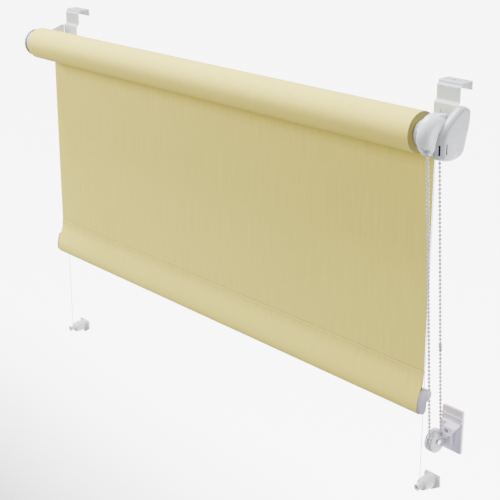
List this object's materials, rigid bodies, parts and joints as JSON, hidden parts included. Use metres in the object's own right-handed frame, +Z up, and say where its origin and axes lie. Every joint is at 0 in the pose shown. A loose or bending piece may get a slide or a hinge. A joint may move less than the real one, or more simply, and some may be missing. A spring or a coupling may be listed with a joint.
{
  "type": "roller blind",
  "caption": "Chain-operated roller blind that hooks over a window sash, with a sewn bottom rail, taut side guide lines, and a chain holder and line clips on the sash.",
  "frame": {"origin": "top front edge of the sash that the blind hangs on, at mid-width", "axes": "+X to the control side, +Y into the window, +Z up"},
  "size_m": [0.6101, 0.0748, 0.4112],
  "materials": {
    "fabric": "plain weave, unglazed",
    "tube": "mill",
    "steel": "plain",
    "painted": "satin powder coat",
    "white": "satin moulded",
    "cap": "satin moulded",
    "foam": "foam tape",
    "bead": "gloss moulded",
    "holder": "gloss moulded",
    "clear": "translucent moulded",
    "line": "clear nylon"
  },
  "bodies": {
    "brackets": {"bead_chain": "bead", "clip_base_left": "white", "clip_base_right": "white", "clip_pad_left": "foam", "clip_pad_right": "foam", "clutch_axle": "white", "clutch_housing": "white", "guide_line_left": "line", "guide_line_right": "line", "holder_arm": "holder", "holder_pad": "foam", "holder_plate": "holder", "idle_bracket": "white", "idle_cover": "cap", "left_bracket_nut": "steel", "left_bracket_screw": "steel", "left_hook": "painted", "left_hook_pad": "foam", "line_anchor_left": "white", "line_anchor_right": "white", "outer_cover": "white", "pulley_axle": "steel", "pulley_housing": "clear", "right_bracket_nut": "steel", "right_bracket_screw": "steel", "right_hook": "painted", "right_hook_pad": "foam"},
    "roller": {"tube": "tube", "tube_tape": "foam", "fabric_roll": "fabric", "drive_plug": "white", "wrap_spring": "steel", "chain_sprocket": "white", "idle_plug": "white", "idle_spring": "steel"},
    "rail": {"fabric_sheet": "fabric", "hem_pocket": "fabric", "bottom_rail": "white", "rail_cap_left": "cap", "rail_cap_right": "cap"},
    "pulley": {"chain_pulley": "white"},
    "connector": {"chain_connector": "clear"},
    "pin": {"idle_pin": "steel"},
    "left_knob": {"clip_knob_left": "white"},
    "right_knob": {"clip_knob_right": "white"}
  },
  "joints": [
    {"name": "roller_turn", "type": "hinge", "parent": "brackets", "child": "roller", "pos_m": [0, -0.043, -0.0348], "axis": [1, 0, 0], "range_deg": [-163.8, 556.7]},
    {"name": "rail_travel", "type": "slide", "parent": "brackets", "child": "rail", "axis": [0, 0, 1], "range_m": [-0.05, 0.17], "deforming": ["fabric_sheet"]},
    {"name": "pulley_turn", "type": "hinge", "parent": "brackets", "child": "pulley", "pos_m": [0.2973, -0.0204, -0.3184], "axis": [1, 0, 0], "range_deg": [-164, 557]},
    {"name": "connector_travel", "type": "slide", "parent": "brackets", "child": "connector", "axis": [0, -0.0794, 0.9968], "range_m": [-0.0225, 0.0758]},
    {"name": "pin_push", "type": "slide", "parent": "roller", "child": "pin", "axis": [1, 0, 0], "range_m": [0, 0.003], "stiffness_N_per_m": 400, "springref_m": -0.003, "deforming": ["idle_spring"]},
    {"name": "left_knob_turn", "type": "hinge", "parent": "brackets", "child": "left_knob", "pos_m": [-0.282, -0.0242, -0.3998], "axis": [0, 1, 0], "range_deg": [-90, 90]},
    {"name": "right_knob_turn", "type": "hinge", "parent": "brackets", "child": "right_knob", "pos_m": [0.282, -0.0242, -0.3718], "axis": [0, 1, 0], "range_deg": [-90, 90]}
  ],
  "couplings": [
    {"joint": "roller_turn", "follows": "rail_travel", "rad_per_m": 57.143},
    {"joint": "pulley_turn", "follows": "rail_travel", "rad_per_m": 57.143},
    {"joint": "connector_travel", "follows": "rail_travel", "ratio": 0.44571}
  ]
}
